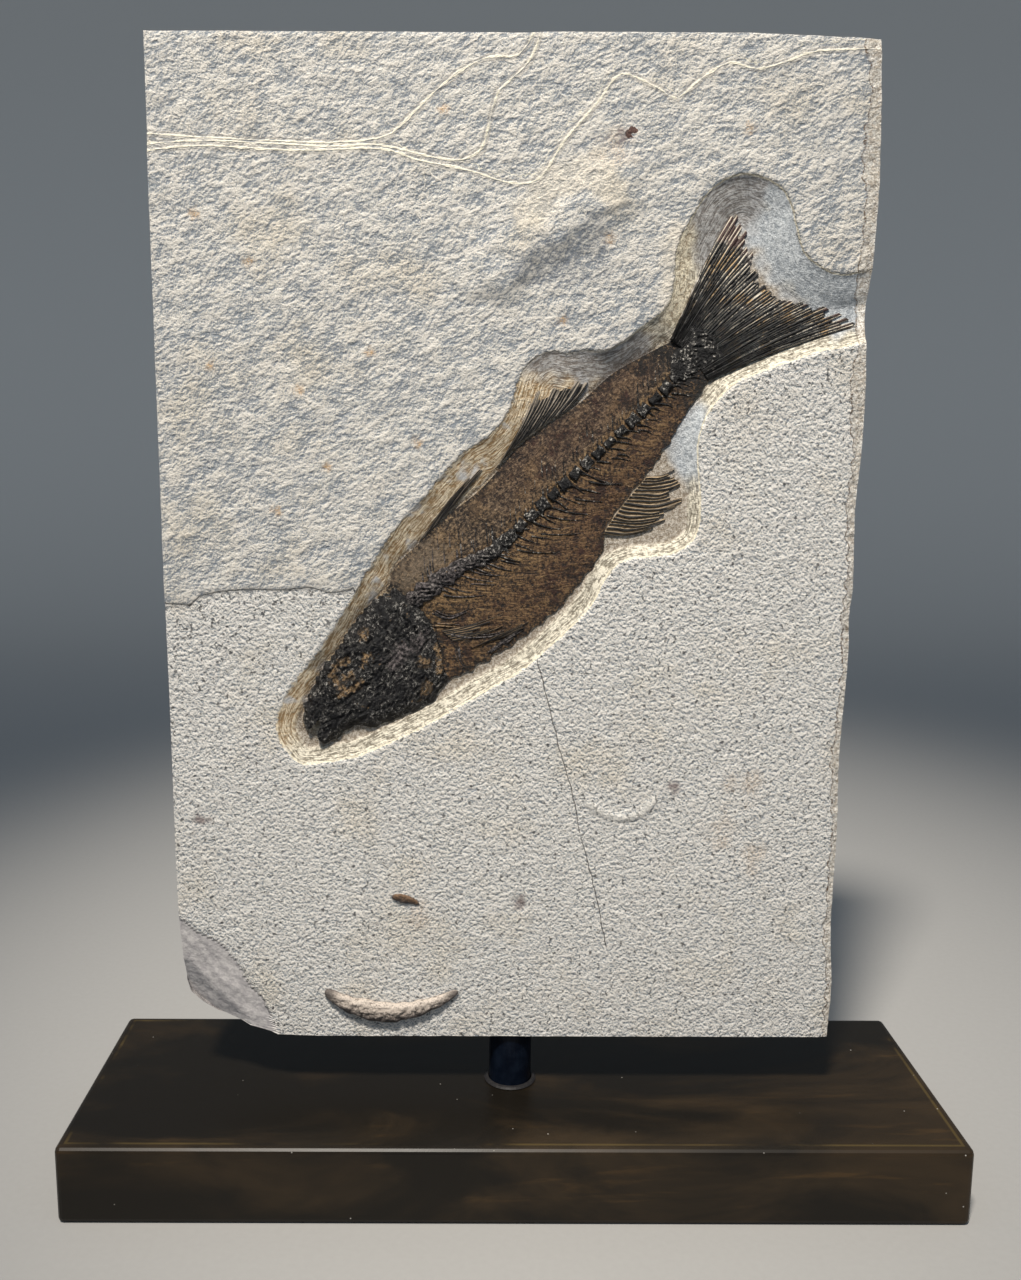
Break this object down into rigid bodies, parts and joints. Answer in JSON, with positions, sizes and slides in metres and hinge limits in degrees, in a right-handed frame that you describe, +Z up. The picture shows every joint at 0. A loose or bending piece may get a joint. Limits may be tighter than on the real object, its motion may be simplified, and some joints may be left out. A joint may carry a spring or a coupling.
{
  "type": "fossil fish slab",
  "caption": "Limestone slab with a whole bony fish in a prepared hollow, standing on a steel post in an oblong steel base.",
  "frame": {"origin": "middle of the underside of the base", "axes": "+Z up the slab, +X to the right along the base as seen from the front; the slab's face with the fish looks along -Y"},
  "size_m": [0.254, 0.0762, 0.3198],
  "materials": {
    "patinated_steel": "dark waxed patina",
    "black_steel": "satin black",
    "clear_glue": "clear, slightly grey",
    "limestone": "dull, chisel dressed",
    "fossil_skin": "dull to satin brown",
    "fossil_bone": "satin brown black",
    "coprolite": "dull, rough"
  },
  "bodies": {
    "root": {"base": "patinated_steel", "post": "black_steel", "glue_bead": "clear_glue", "slab": "limestone", "flank": "fossil_skin", "skull": "fossil_bone", "backbone": "fossil_bone", "front_dorsal_fin": "fossil_bone", "rear_dorsal_fin": "fossil_bone", "anal_fin": "fossil_bone", "tail_fin": "fossil_bone", "pelvic_fin": "fossil_bone", "pectoral_fin": "fossil_bone", "crescent_coprolite": "coprolite", "small_coprolite": "coprolite", "scale_scrap": "coprolite"}
  },
  "joints": []
}
